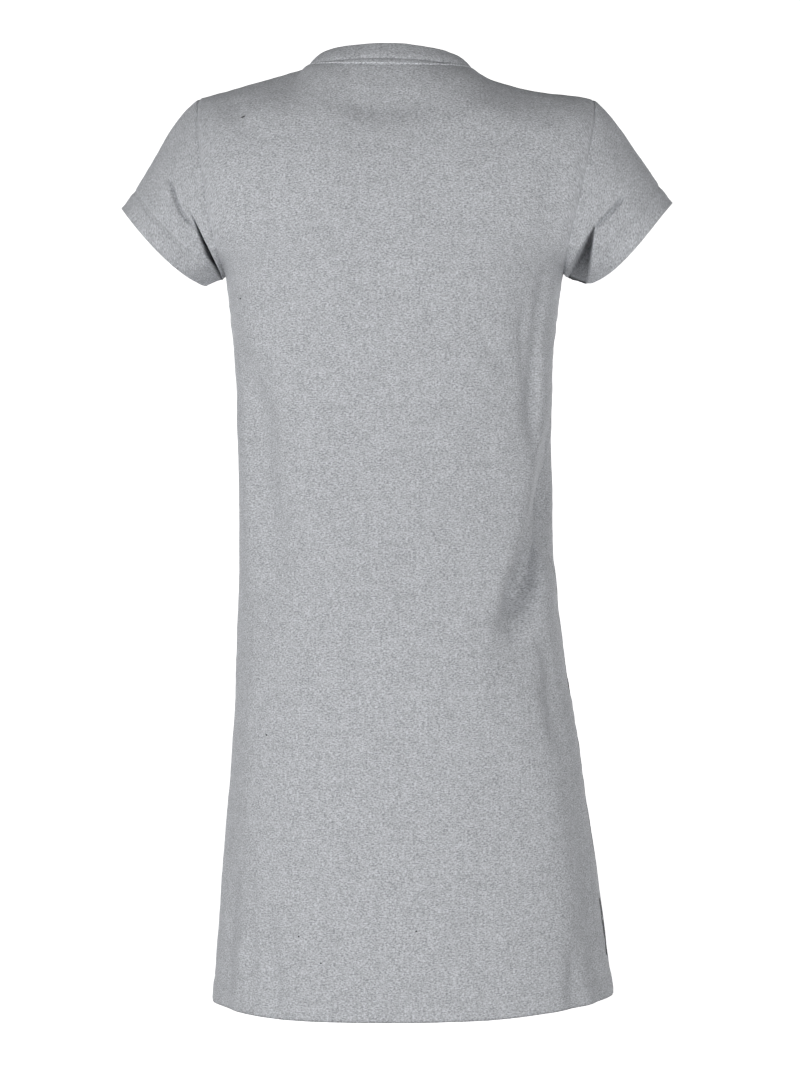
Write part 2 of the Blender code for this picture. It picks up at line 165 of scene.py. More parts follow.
# Creases
# Path in millimetres, as seen from the back or the front: right and up from the origin.
# left and right are the widths of its two sides where it runs downwards; depth is inwards if < 0.
Crease = namedtuple("Crease", "left right depth path")
BACK_CREASES = (
    # main fold below the right waist
    Crease(13, 10, -8.5, ((152, -328), (151, -368), (147, -412))),
    Crease(18, 13, -16, ((151, -362), (147, -396), (140, -424), (130, -453), (117, -484), (106, -508))),
    Crease(13, 11, -4.5, ((141, -430), (132, -456), (118, -489), (100, -524))),
    Crease(18, 6, 5, ((134, -350), (125, -399), (109, -454), (99, -482), (89, -508))),
    # trough under the right arm and the pinch that ends it
    Crease(5, 7, -2.3, ((121, -203), (117, -249), (121, -291), (121, -341))),
    Crease(6, 7, 0.9, ((132, -213), (134, -277), (133, -332))),
    Crease(4, 4, 1.6, ((130, -332), (132, -341), (126, -353))),
    # short hook across the right of the waist
    Crease(4, 6, -1.5, ((78, -233), (85, -256), (98, -270), (113, -276))),
    Crease(7, 4, 1, ((72, -249), (83, -275), (101, -288))),
    Crease(8, 8, -0.9, ((88, -328), (85, -355), (79, -383))),
    # soft trough down the left of the waist
    Crease(11, 12, -3.4, ((-127, -272), (-121, -332), (-117, -387), (-106, -466))),
    Crease(6, 9, 1.4, ((-147, -205), (-138, -240), (-126, -268))),
    Crease(9, 9, 1.6, ((-143, -300), (-138, -369), (-131, -452))),
    # below the main fold, down to the corner of the hem
    Crease(5, 5, -2.4, ((128, -518), (135, -536), (140, -562), (141, -592), (144, -622))),
    Crease(10, 5, 1.4, ((112, -545), (124, -566), (128, -600))),
    Crease(40, 14, 4.6, ((150, -580), (153, -690), (157, -780), (160, -850))),
    Crease(8, 10, -3.2, ((161, -800), (163, -850), (166, -888))),
    # left edge of the skirt
    Crease(8, 10, -2.6, ((-144, -525), (-146, -580), (-149, -654), (-152, -718), (-157, -800), (-160, -870))),
    # flutes of the hem
    Crease(7, 7, 2.4, ((-140, -788), (-143, -812), (-147, -872))),
    Crease(6, 6, -2.4, ((-136, -786), (-135, -834))),
    Crease(8, 8, 1.4, ((-125, -822), (-127, -872))),
    Crease(8, 7, -4, ((-118, -776), (-114, -812), (-110, -872))),
    Crease(12, 12, -1.2, ((-36, -843), (-36, -873))),
    Crease(12, 12, -1, ((1, -847), (0, -877))),
    Crease(12, 12, -1.2, ((38, -841), (38, -875))),
    Crease(12, 12, -1.2, ((86, -829), (88, -868))),
    # beside the right armhole seam
    Crease(5, 5, -2.4, ((180, -66), (176, -93), (169, -120), (163, -150))),
    # under the neck and over the shoulders
    Crease(11, 17, -2.4, ((-56, -25), (-14, -34), (28, -27))),
    Crease(4, 4, 0.5, ((-44, -13), (-10, -17), (17, -13))),
    Crease(14, 14, -2.8, ((-151, -25), (-144, -42), (-132, -58))),
    Crease(14, 12, -2.8, ((70, -12), (116, -29), (167, -41))),
)
SLEEVE_BACK_CREASES = (
    # wearer's left: thin fold line, and swell below the gap
    Crease(1.1, 1.8, -4.4, ((-208, -99), (-204, -117), (-195, -136), (-183, -148))),
    Crease(2, 3, -0.9, ((-187, -70), (-184, -100), (-177, -124))),
    Crease(4, 2.5, 1.2, ((-212, -102), (-208, -120), (-200, -140), (-190, -155))),
    Crease(6, 4, 2, ((-193, -155), (-183, -170), (-173, -185))),
    # wearer's right: thin fold line, and soft valley beside the armhole
    Crease(1.8, 1.4, -5.2, ((211, -116), (200, -129), (189, -141), (182, -150))),
    Crease(2.5, 5, 1.2, ((220, -120), (208, -138), (196, -150))),
    Crease(5, 5, -2.4, ((180, -66), (176, -93), (169, -120), (163, -150))),
    Crease(4, 6, 1.5, ((205, -150), (198, -168), (190, -183))),
)
FRONT_CREASES = (
    Crease(12, 8, -2.6, ((132, -210), (118, -262), (122, -330))),
    Crease(9, 9, 1.6, ((145, -230), (134, -300), (136, -360))),
    Crease(14, 9, -3.6, ((150, -345), (128, -420), (98, -500))),
    Crease(10, 15, 2.4, ((138, -350), (112, -430), (84, -492))),
    Crease(13, 12, -2.8, ((-136, -240), (-124, -330), (-118, -440))),
    Crease(10, 10, 1.8, ((-148, -270), (-138, -380), (-130, -470))),
    Crease(9, 7, -1.8, ((-108, -205), (-84, -236), (-52, -252))),
    Crease(8, 8, -1.6, ((104, -200), (82, -226), (56, -238))),
    Crease(14, 14, -2.6, ((60, -560), (66, -700), (72, -866))),
    Crease(14, 14, -2.6, ((-64, -590), (-72, -720), (-80, -866))),
    Crease(10, 12, -2.4, ((150, -700), (152, -790), (154, -866))),
    Crease(12, 12, -1.2, ((-20, -836), (-20, -868))),
    Crease(12, 12, -1.3, ((22, -830), (24, -868))),
    Crease(12, 12, -1.3, ((-128, -800), (-134, -866))),
    Crease(7, 9, -1.2, ((-58, -84), (-14, -112), (34, -92))),
    Crease(9, 9, -1.5, ((-150, -34), (-140, -60), (-124, -86))),
    Crease(9, 9, -1.5, ((150, -34), (140, -60), (124, -86))),
)
SLEEVE_FRONT_CREASES = (
    Crease(2.6, 5, -2.2, ((-208, -104), (-200, -126), (-186, -146))),
    Crease(3, 3.5, -6, ((-184, -146), (-175, -163), (-166, -182))),
    Crease(5, 2.6, -2.2, ((209, -108), (199, -130), (186, -147))),
    Crease(3.5, 3, -6, ((185, -147), (176, -165), (167, -182))),
)
MILLIMETRE = 0.001

# Dark pockets between the sleeves and the body, as seen from the back: corners in millimetres,
# the depth to which their cloth sinks, how far their sides slope, and the cloth left at the seam
POCKETS = {
    "left_sleeve": ((-180.5, -152.0), (-174.5, -170.0), (-162.5, -189.0)),
    "right_sleeve": ((181.0, -149.0), (148.0, -204.0), (174.5, -214.0)),
}
POCKET_FLOOR = -0.015
POCKET_SLOPE = 0.0035
POCKET_SEAM = 0.0018


# Curves and lofts
def unit(vectors):
    """Vectors scaled to length one, along the last axis."""
    vectors = np.asarray(vectors, float)
    return vectors / np.maximum(np.linalg.norm(vectors, axis=-1, keepdims=True), 1e-12)


def smooth_step(value):
    value = np.clip(value, 0.0, 1.0)
    return value * value * (3 - 2 * value)


def hermite(start, start_slope, end, end_slope, share):
    """Cubic between two points with a slope at each."""
    a = 2 * share**3 - 3 * share**2 + 1
    b = share**3 - 2 * share**2 + share
    c = -2 * share**3 + 3 * share**2
    d = share**3 - share**2
    return a * start + b * start_slope + c * end + d * end_slope


def knot_slopes(points, knots, first=None, last=None):
    """Slope at each knot of a smooth curve through the points."""
    steps = np.diff(knots)
    chords = np.diff(points, axis=0) / steps.reshape((-1,) + (1,) * (points.ndim - 1))
    slopes = np.empty_like(points)
    slopes[0] = chords[0] if first is None else first
    slopes[-1] = chords[-1] if last is None else last
    for k in range(1, len(points) - 1):
        weight = steps[k - 1] / (steps[k - 1] + steps[k])
        slopes[k] = chords[k - 1] * (1 - weight) + chords[k] * weight
    return slopes


def curve_at(points, knots, slopes, where):
    """Point of that curve at one knot value."""
    k = int(np.clip(np.searchsorted(knots, where) - 1, 0, len(knots) - 2))
    step = knots[k + 1] - knots[k]
    share = (where - knots[k]) / step
    return hermite(points[k], slopes[k] * step, points[k + 1], slopes[k + 1] * step, share)


def run_lengths(line):
    """Length along a line up to each of its points."""
    return np.concatenate([[0.0], np.cumsum(np.linalg.norm(np.diff(line, axis=0), axis=-1))])


def even_points(line, shares):
    """Points of a dense line at the given shares of its length."""
    lengths = run_lengths(line)
    places = np.asarray(shares) * lengths[-1]
    return np.stack([np.interp(places, lengths, line[:, axis]) for axis in range(3)], axis=1)


RING_HEIGHTS = np.array([ring.height for ring in RINGS])
RING_SIZES = np.array([ring[1:] for ring in RINGS])
RING_SLOPES = knot_slopes(RING_SIZES, RING_HEIGHTS)
HEM = RING_HEIGHTS[0]
UNDERARM = RING_HEIGHTS[-1]


def ring_sizes(height):
    return curve_at(RING_SIZES, RING_HEIGHTS, RING_SLOPES, min(max(height, HEM), UNDERARM))


def skirt_share(height):
    return (UNDERARM - height) / (UNDERARM - HEM)


def squared(angle, squareness):
    """Unit rounded rectangle: its two coordinates at an angle."""
    power = 2 / squareness
    across = np.sign(np.cos(angle)) * np.abs(np.cos(angle)) ** power
    along = np.sign(np.sin(angle)) * np.abs(np.sin(angle)) ** power
    return across, along


def ring_point(angle, height):
    """Point of the body's ring; the angle runs from the wearer's left over the back."""
    half_width, shift, back, front, squareness = ring_sizes(height)
    across, along = squared(angle, squareness)
    x = shift + half_width * across
    y = np.where(along > 0, back, front) * along
    z = height - HEM_TILT * smooth_step(skirt_share(height)) * x
    return np.stack([x, y, z], axis=-1)


def ring_half(height, side, columns):
    """Back (side 1) or front (side -1) half of a ring, from the wearer's right to the left."""
    right = math.pi - SEAM_SWING * smooth_step(skirt_share(height))
    left = 0.0 if side > 0 else 2 * math.pi
    angles = np.linspace(right, left, ARC_SAMPLES)
    return even_points(ring_point(angles, height), columns)


def level_half(level, side, columns):
    """A panel's level above the underarm, from the wearer's right armhole to the left one."""
    first = math.asin((level.edge_y / level.depth) ** (LEVEL_SQUARENESS / 2))
    across, along = squared(np.linspace(math.pi - first, first, ARC_SAMPLES), LEVEL_SQUARENESS)
    across = across / across.max()
    x = across * np.where(across > 0, level.left_x, level.right_x)
    z = level.middle_height + (level.edge_height - level.middle_height) * across**2
    return even_points(np.stack([x, side * level.depth * along, z], axis=1), columns)


def neckline(neck, share):
    """Point of the neck seam; the share runs from the right neck point (-1) to the left one (1)."""
    turn = share * math.pi / 2
    depth = math.cos(turn)
    return np.array([
        NECK_SHIFT + NECK_HALF_WIDTH * math.sin(turn),
        NECK_POINT_Y + (neck[0] - NECK_POINT_Y) * depth,
        neck[1] * depth + NECK_RISE_LEFT * math.sin(turn),
    ])


def shoulder_seam(hand, share):
    """Point of a shoulder seam; the share runs from the neck point to the shoulder point."""
    shoulder = LEFT_SHOULDER if hand > 0 else RIGHT_SHOULDER
    start = neckline(BACK_NECK, hand)
    point = start + (np.array(shoulder[:3]) - start) * share
    point[2] -= shoulder.sag * math.sin(math.pi * share ** 0.7)
    return point


def top_edge(side):
    """Top of a panel, column by column, and the direction in which its cloth arrives there."""
    neck, lean = (BACK_NECK, BACK_NECK_LEAN) if side > 0 else (FRONT_NECK, FRONT_NECK_LEAN)
    over = np.array([0.0, -side * math.cos(SHOULDER_TILT), -side * math.sin(SHOULDER_TILT)])
    up = np.array([0.0, -side * math.sin(lean), math.cos(lean)])
    points, arrivals = [], []
    for column in range(-HALF_COLUMNS, HALF_COLUMNS + 1):
        place = abs(column)
        if place <= NECK_COLUMNS:
            points.append(neckline(neck, column / NECK_COLUMNS))
        else:
            share = (place - NECK_COLUMNS) / SHOULDER_COLUMNS
            points.append(shoulder_seam(column // place, share))
        turned = smooth_step(place / NECK_COLUMNS)
        arrivals.append(unit(up * (1 - turned) + over * turned))
    return np.array(points), np.array(arrivals)


PANEL_COLUMNS = np.linspace(0, 1, 2 * HALF_COLUMNS + 1)


def skirt_rows(side):
    heights = np.linspace(HEM, UNDERARM, SKIRT_ROWS + 1)
    return [ring_half(height, side, PANEL_COLUMNS) for height in heights]


def yoke_rows(side):
    """Rows of a panel from the underarm over the shoulder blade or chest to the top edge."""
    columns = PANEL_COLUMNS
    levels = BACK_LEVELS if side > 0 else FRONT_LEVELS
    top, arrivals = top_edge(side)
    middle = [level_half(level, side, columns) for level in levels]
    lines = np.array([ring_half(UNDERARM, side, columns)] + middle + [top])
    spans = np.linalg.norm(np.diff(lines, axis=0), axis=2).mean(axis=1)
    knots = np.concatenate([[0.0], np.cumsum(spans)])
    rising = unit(lines[0] - ring_half(UNDERARM - RISE_STEP, side, columns))
    outward = unit(lines[1] - lines[0])
    edge = (np.abs(2 * columns - 1) ** EDGE_TURN_POWER)[:, None]
    slopes = knot_slopes(lines, knots, rising * (1 - edge) + outward * edge, arrivals)
    rows = []
    for k, count in enumerate(YOKE_ROWS):
        for n in range(1, count + 1):
            where = knots[k] + (knots[k + 1] - knots[k]) * n / count
            rows.append(curve_at(lines, knots, slopes, where))
    return rows


def sizes_at(heights):
    """Ring sizes at an array of heights."""
    spots = np.linspace(HEM, UNDERARM, ARC_SAMPLES)
    table = np.array([ring_sizes(spot) for spot in spots])
    heights = np.clip(heights, HEM, UNDERARM)
    return [np.interp(heights, spots, table[:, k]) for k in range(4)]


def fold_push(points):
    """Body points moved in or out, level, by the largest folds."""
    x, y, z = np.moveaxis(points, -1, 0)
    half_width, shift, back, front = sizes_at(z)
    depth = np.where(y > 0, back, front)
    bearing = np.degrees(np.arctan2(-(x - shift) / half_width, y / depth))
    outward = unit(np.stack([(x - shift) / half_width**2, y / depth**2, np.zeros_like(x)], axis=-1))
    radius = np.hypot(x, y)
    push = np.zeros_like(x)
    for fold in BODY_FOLDS:
        share = (z - fold.top) / (fold.low - fold.top)
        middle = fold.bearing_top + (fold.bearing_low - fold.bearing_top) * np.clip(share, 0, 1)
        aside = (bearing - middle + 180) % 360 - 180
        fade = smooth_step(share * FOLD_END_STEEPNESS + 0.5)
        fade *= smooth_step((1 - share) * FOLD_END_STEEPNESS + 0.5)
        push += fold.depth * fade * np.exp(-((np.radians(aside) * radius / fold.width) ** 2))
    return points + outward * push[..., None]


def eased(grid):
    """Rows about the underarm relaxed, so that no ridge runs where skirt and yoke meet."""
    away = np.abs(grid[1:-1, 1:-1, 2:] - EASE_MIDDLE)
    pull = smooth_step((EASE_FULL + EASE_FADE - away) / EASE_FADE)
    columns = np.arange(1, grid.shape[1] - 1)
    inner = np.minimum(columns, grid.shape[1] - 1 - columns) / EASE_EDGE
    pull = pull * np.clip(inner, 0, 1)[None, :, None] / 2
    rows = np.flatnonzero(pull.max(axis=(1, 2)) > 0)
    first, last = rows[0], rows[-1] + 1
    pull = pull[first:last]
    part = grid[first:last + 2]
    for _ in range(EASE_PASSES):
        around = part[:-2, 1:-1] + part[2:, 1:-1] + part[1:-1, :-2] + part[1:-1, 2:]
        part[1:-1, 1:-1] += (around / 4 - part[1:-1, 1:-1]) * pull
    return grid


def panel(side):
    grid = eased(np.array(skirt_rows(side) + yoke_rows(side)))
    pushed = fold_push(grid)
    keep = smooth_step((FOLD_FLAT_TOP - grid[..., 2:]) / FOLD_FADE)
    grid = grid + (pushed - grid) * keep
    rise = smooth_step((np.abs(grid[..., 0]) - HEM_RISE_FROM) / HEM_RISE_OVER)
    grid[..., 2] += HEM_RISE * rise * smooth_step((HEM + HEM_RISE_FADE - grid[..., 2]) / HEM_RISE_FADE)
    return grid


def armhole(back, front, hand):
    """Loop of an armhole from the underarm up the back, and the cloth's direction across it."""
    column, inner = (-1, -6) if hand > 0 else (0, 5)
    loop = np.vstack([back[SKIRT_ROWS:, column], front[-2:SKIRT_ROWS:-1, column]])
    inside = np.vstack([back[SKIRT_ROWS:, inner], front[-2:SKIRT_ROWS:-1, inner]])
    return loop, unit(loop - inside)


def loop_turns(loop):
    """Share of a turn for each point of an armhole: 0 at the underarm, 0.5 at the shoulder."""
    lengths = run_lengths(np.vstack([loop, loop[:1]]))
    top = len(loop) // 2
    rising = 0.5 * lengths[:top + 1] / lengths[top]
    falling = 0.5 + 0.5 * (lengths[top + 1:-1] - lengths[top]) / (lengths[-1] - lengths[top])
    return np.concatenate([rising, falling])


def cuff_ring(turns, hand):
    """Free edge of a sleeve, and the way the arm leaves it."""
    angle = 2 * math.pi * turns
    towards_tip = np.array([hand * math.cos(CUFF_TIP_RISE), 0.0, math.sin(CUFF_TIP_RISE)])
    leaving = np.array([hand * math.sin(CUFF_TIP_RISE), 0.0, -math.cos(CUFF_TIP_RISE)])
    centre = np.array(CUFF_CENTRE) * (hand, 1, 1)
    ring = centre - np.cos(angle)[:, None] * CUFF_RADIUS_TIP * towards_tip
    ring[:, 1] += CUFF_RADIUS_DEPTH * np.sin(angle)
    tilt = LEFT_CUFF_TILT if hand > 0 else RIGHT_CUFF_TILT
    dip = CUFF_DIP * np.sin(angle) ** 2 + tilt * np.sin(angle)
    dip *= 1 + CUFF_SAG_LOW * np.cos(angle)
    return ring + leaving * dip[:, None], leaving


def sleeve(back, front, hand):
    """Sleeve from the armhole to the cuff, as rows of closed loops."""
    loop, across = armhole(back, front, hand)
    turns = loop_turns(loop)
    cuff, leaving = cuff_ring(turns, hand)
    chord = cuff - loop
    reach = np.linalg.norm(chord, axis=1, keepdims=True)
    low = np.minimum(turns, 1 - turns)[:, None] * 2
    spread = LEFT_CAP_SPREAD if hand > 0 else RIGHT_CAP_SPREAD
    follow = smooth_step((low - CAP_START) / CAP_RISE) * spread
    start = unit(across * follow + unit(chord) * (1 - follow))
    end = unit(unit(chord) + leaving)
    shares = np.linspace(0, 1, SLEEVE_ROWS + 1)
    return np.array([
        hermite(loop, start * reach, cuff, end * reach * CUFF_REACH, share) for share in shares
    ])


def collar(back, front):
    """Outer face of the rib band standing on the neck seam, as rows of closed loops."""
    over_back = slice(HALF_COLUMNS - NECK_COLUMNS, HALF_COLUMNS + NECK_COLUMNS + 1)
    seam = np.vstack([back[-1, over_back], front[-1, over_back][-2:0:-1]])
    middle = np.array([NECK_SHIFT, (BACK_NECK[0] + FRONT_NECK[0]) / 2, 0.0])
    inward = middle - seam
    inward[:, 2] = 0.0
    inward = unit(inward)
    facing = inward[:, 1]
    far = np.where(facing < 0, COLLAR_LEAN_BACK, COLLAR_LEAN_FRONT)
    lean = (COLLAR_LEAN_SIDE + (far - COLLAR_LEAN_SIDE) * facing**2)[:, None]
    rows = []
    for row in range(COLLAR_ROWS + 1):
        rise = COLLAR_HEIGHT * row / COLLAR_ROWS
        curl = lean * (COLLAR_CURL[0] + (COLLAR_CURL[1] - COLLAR_CURL[0]) * row / COLLAR_ROWS)
        rows.append(seam + inward * np.sin(curl) * rise + np.array([0, 0, 1]) * np.cos(curl) * rise)
    return np.array(rows)


# Relief of the cloth
def seen_back(points):
    """Where points show in the photograph, right and up from the origin."""
    away = points - CAMERA_PLACE
    scale = CAMERA_DISTANCE / -(away @ CAMERA_BACK)
    across = CAMERA_ASIDE + (away @ CAMERA_RIGHT) * scale
    rise = CAMERA_HEIGHT + away[..., 2] * scale
    return np.stack([across, rise], axis=-1)


def seen_front(points):
    return points[..., [0, 2]]


PATH_POINTS = 25
PATH_END = 0.25
PATH_END_STEEPNESS = 3.5


def path_press(seen, crease):
    """Depth of one crease at each seen point: a path with two soft sides and faded ends."""
    knots = np.array(crease.path, float) * MILLIMETRE
    marks = run_lengths(knots)
    slopes = knot_slopes(knots, marks)
    line = np.array([curve_at(knots, marks, slopes, mark) for mark in np.linspace(0, marks[-1], PATH_POINTS)])
    reach = 3 * max(crease.left, crease.right) * MILLIMETRE
    near = np.flatnonzero(
        (seen > line.min(axis=0) - reach).all(axis=1) & (seen < line.max(axis=0) + reach).all(axis=1)
    )
    spots = seen[near]
    steps = line[1:] - line[:-1]
    lengths = run_lengths(line)
    best = np.full(len(near), 1e9)
    aside = np.zeros(len(near))
    share = np.zeros(len(near))
    for start, step, before in zip(line[:-1], steps, lengths):
        size = np.linalg.norm(step)
        along = (spots - start) @ step / size**2
        foot = start + np.clip(along, 0, 1)[:, None] * step
        gap = spots - foot
        distance = np.linalg.norm(gap, axis=1)
        closer = distance < best
        best[closer] = distance[closer]
        cross = step[0] * gap[:, 1] - step[1] * gap[:, 0]
        aside[closer] = np.where(cross < 0, -distance, distance)[closer]
        share[closer] = ((before + np.clip(along, 0, 1) * size) / lengths[-1])[closer]
    width = np.where(aside < 0, crease.left, crease.right) * MILLIMETRE
    fade = smooth_step(PATH_END + share * PATH_END_STEEPNESS)
    fade *= smooth_step(PATH_END + (1 - share) * PATH_END_STEEPNESS)
    press = np.zeros(len(seen))
    press[near] = crease.depth * MILLIMETRE * fade * np.exp(-((best / width) ** 2))
    return press


# Where the front's creases give way to the back's: from this depth, over this much
SIDE_FROM = -0.030
SIDE_OVER = 0.045


def creases_at(points, back_marks, front_marks):
    """Depth of all creases at each point, with the back's and the front's fading at the sides."""
    back_share = smooth_step((points[:, 1] - SIDE_FROM) / SIDE_OVER)
    seen = seen_back(points)
    press = sum(path_press(seen, crease) for crease in back_marks) * back_share
    seen = seen_front(points)
    return press + sum(path_press(seen, crease) for crease in front_marks) * (1 - back_share)


def sunk(points, pocket, from_seam):
    """Cloth of a sleeve's pocket, moved away from the back to the pocket's floor."""
    seen = seen_back(points)
    corners = np.array(pocket) * MILLIMETRE
    inside = np.full(points.shape[:-1], 1e9)
    for corner, after in zip(corners, np.roll(corners, -1, axis=0)):
        step = unit(after - corner)
        gap = seen - corner
        inside = np.minimum(inside, step[0] * gap[..., 1] - step[1] * gap[..., 0])
    share = smooth_step(0.5 + inside / POCKET_SLOPE) * smooth_step(from_seam / POCKET_SEAM)
    points = points.copy()
    points[..., 1] -= share * np.maximum(points[..., 1] - POCKET_FLOOR, 0.0)
    return points


def waves(points, length, seed, count=22):
    """Smooth uneven field of about the given wave length, near -1 to 1."""
    random = np.random.default_rng(seed)
    ways = unit(random.normal(size=(count, 3))) * 2 * math.pi / length
    ways *= random.uniform(0.7, 1.4, (count, 1))
    return np.cos(points @ ways.T + random.uniform(0, 2 * math.pi, count)).sum(axis=1) / math.sqrt(count)


# Swells of cloth that never lies quite smooth
Swell = namedtuple("Swell", "height stretch length seed")
SWELLS = (
    Swell(0.00070, 0.55, 0.090, 11),
    Swell(0.00030, 0.60, 0.038, 12),
    Swell(0.00011, 1.00, 0.014, 13),
)


def unevenness(points):
    """Broad swells and small puckers."""
    return sum(
        swell.height * waves(points * (1, 1, swell.stretch), swell.length, swell.seed) for swell in SWELLS
    )


def ditch(distance, depth, width):
    """Shallow groove along a seam."""
    return -depth * np.exp(-((distance / width) ** 2))


def grid_faces(rows, columns, closed, flipped):
    wide = columns if closed else columns - 1
    row, column = np.meshgrid(np.arange(rows - 1), np.arange(wide), indexing="ij")
    after = (column + 1) % columns
    faces = np.stack([
        row * columns + column,
        row * columns + after,
        (row + 1) * columns + after,
        (row + 1) * columns + column,
    ], axis=-1).reshape(-1, 4)
    return faces[:, ::-1] if flipped else faces


# One cut piece: its grid of points, whether the grid closes, and which way its faces turn
Cloth = namedtuple("Cloth", "name grid closed flipped")


def summed_normals(piece):
    """Normal at each point of a piece, as long as the faces round it are large."""
    points = piece.grid.reshape(-1, 3)
    faces = grid_faces(*piece.grid.shape[:2], piece.closed, piece.flipped)
    a, b, c, d = (points[faces[:, k]] for k in range(4))
    cross = np.cross(c - a, d - b)
    total = np.zeros_like(points)
    for k in range(4):
        np.add.at(total, faces[:, k], cross)
    return total


def shared_normals(pieces):
    """Normals of all pieces, added up where their points meet along the seams."""
    points = np.vstack([piece.grid.reshape(-1, 3) for piece in pieces])
    sums = np.vstack([summed_normals(piece) for piece in pieces])
    _, where = np.unique(np.round(points, 6), axis=0, return_inverse=True)
    where = where.ravel()
    total = np.zeros((where.max() + 1, 3))
    np.add.at(total, where, sums)
    every = unit(total[where])
    cuts = np.cumsum([piece.grid[..., 0].size for piece in pieces])[:-1]
    return [part.reshape(piece.grid.shape) for part, piece in zip(np.split(every, cuts), pieces)]


def distances(grid, axis):
    """Distance of each point from the first one of its row (axis 1) or its column (axis 0)."""
    steps = np.linalg.norm(np.diff(grid, axis=axis), axis=2)
    return np.insert(np.cumsum(steps, axis=axis), 0, 0.0, axis=axis)


def at_distance(values, lengths, distance, columns=slice(None)):
    """Values at one distance from the first row, column by column."""
    return np.array([
        [np.interp(distance, lengths[:, k], values[:, k, axis]) for axis in range(3)]
        for k in range(values.shape[1])[columns]
    ])


# Meshes
def new_object(name, points, faces, look, coordinates=None):
    mesh = bpy.data.meshes.new(name)
    mesh.from_pydata([tuple(point) for point in points], [], [tuple(face) for face in faces])
    if coordinates is not None:
        layer = mesh.uv_layers.new(name="cloth")
        corners = np.zeros(len(mesh.loops), dtype=np.int32)
        mesh.loops.foreach_get("vertex_index", corners)
        layer.data.foreach_set("uv", coordinates[corners].astype(np.float32).ravel())
    mesh.materials.append(look)
    mesh.shade_smooth()
    mesh.update()
    made = bpy.data.objects.new(name, mesh)
    bpy.context.scene.collection.objects.link(made)
    return made


# Turned hem: how far it lies inside the cloth, over how much it gets there, and its rows
HEM_INSET = 0.0013
HEM_TURN = 0.003
HEM_ROWS = (0.0006, 0.003, 0.008, 0.014, 0.020)


def turned_hem(grid, normals):
    """Rows of the cloth folded to the inside along its first row, from its raw edge to the fold."""
    lengths = distances(grid, 0)
    rows = []
    for depth in HEM_ROWS:
        way = normals[int(np.searchsorted(lengths[:, 0], depth))]
        inset = way * HEM_INSET * min(1.0, 0.5 + depth / HEM_TURN)
        rows.append(at_distance(grid, lengths, depth) - inset)
    return np.array(rows[::-1])


# Spindle of thread: share of its length and of its radius at each ring
SPINDLE_SIDES = 5
SPINDLE = ((0.0, 0.15), (0.14, 0.9), (0.5, 1.0), (0.86, 0.9), (1.0, 0.15))


def spindles(starts, ends, normals, radius):
    """Points and faces of many short stitches."""
    along = unit(ends - starts)
    across = unit(np.cross(along, normals))
    up = np.cross(across, along)
    points = []
    for place, girth in SPINDLE:
        middle = starts + (ends - starts) * place
        for side in range(SPINDLE_SIDES):
            angle = 2 * math.pi * side / SPINDLE_SIDES
            points.append(middle + radius * girth * (across * math.cos(angle) + up * math.sin(angle)))
    faces = grid_faces(len(SPINDLE), SPINDLE_SIDES, True, False)
    first = np.arange(len(starts))[:, None, None] * len(points)
    return np.stack(points, axis=1).reshape(-1, 3), (faces + first).reshape(-1, 4)


def stitches_along(line, normals, pitch, length, radius, lift, closed=False):
    """A row of stitches on a line that lies on the cloth."""
    if closed:
        line = np.vstack([line, line[:1]])
        normals = np.vstack([normals, normals[:1]])
    lengths = run_lengths(line)
    count = max(int(lengths[-1] / pitch), 1)
    starts = (np.arange(count) + 0.1) * lengths[-1] / count

    def at(places, values):
        return np.stack([np.interp(places, lengths, values[:, k]) for k in range(3)], axis=1)

    ways = unit(at(starts + length / 2, normals))
    return spindles(
        at(starts, line) + ways * lift, at(starts + length, line) + ways * lift, ways, radius
    )


def joined(parts):
    points, faces, base = [], [], 0
    for some_points, some_faces in parts:
        points.append(some_points)
        faces.append(some_faces + base)
        base += len(some_points)
    return np.vstack(points), np.vstack(faces)


# Materials
class Web:
    """Short way to add and join shader nodes."""

    def __init__(self, name):
        self.material = bpy.data.materials.new(name)
        self.material.use_nodes = True
        self.tree = self.material.node_tree
        self.shader = self.tree.nodes["Principled BSDF"]

    def add(self, kind, inputs=None, **settings):
        node = self.tree.nodes.new(kind)
        for key, value in settings.items():
            setattr(node, key, value)
        for key, value in (inputs or {}).items():
            self.feed(node.inputs[key], value)
        return node

    def feed(self, socket, value):
        if isinstance(value, bpy.types.NodeSocket):
            self.tree.links.new(value, socket)
        elif isinstance(value, bpy.types.Node):
            self.tree.links.new(value.outputs[0], socket)
        else:
            socket.default_value = value

    def math(self, operation, a, b=0.0, c=0.0):
        return self.add("ShaderNodeMath", {0: a, 1: b, 2: c}, operation=operation)

    def weighted(self, *terms):
        """Sum of values, each times its number."""
        total = 0.0
        for value, number in terms:
            total = self.math("MULTIPLY_ADD", value, number, total)
        return total

    def finish(self, inputs):
        """The material, with these inputs of its shader."""
        for key, value in inputs.items():
            self.feed(self.shader.inputs[key], value)
        return self.material

    def noise(self, place, scale, detail=1.0, roughness=0.5):
        return self.add(
            "ShaderNodeTexNoise",
            {"Vector": place, "Scale": scale, "Detail": detail, "Roughness": roughness},
        )

    def stretched(self, place, scale):
        return self.add("ShaderNodeMapping", {"Vector": place, "Scale": scale})

    def ramp(self, value, stops):
        node = self.add("ShaderNodeValToRGB", {0: value})
        node.color_ramp.elements[0].position, node.color_ramp.elements[0].color = stops[0]
        node.color_ramp.elements[1].position, node.color_ramp.elements[1].color = stops[-1]
        for position, colour in stops[1:-1]:
            node.color_ramp.elements.new(position).color = colour
        return node

    def mix(self, share, a, b, blend="MIX"):
        node = self.add("ShaderNodeMix", data_type="RGBA", blend_type=blend)
        self.feed(node.inputs[0], share)
        self.feed(node.inputs[6], a)
        self.feed(node.inputs[7], b)
        return node.outputs[2]


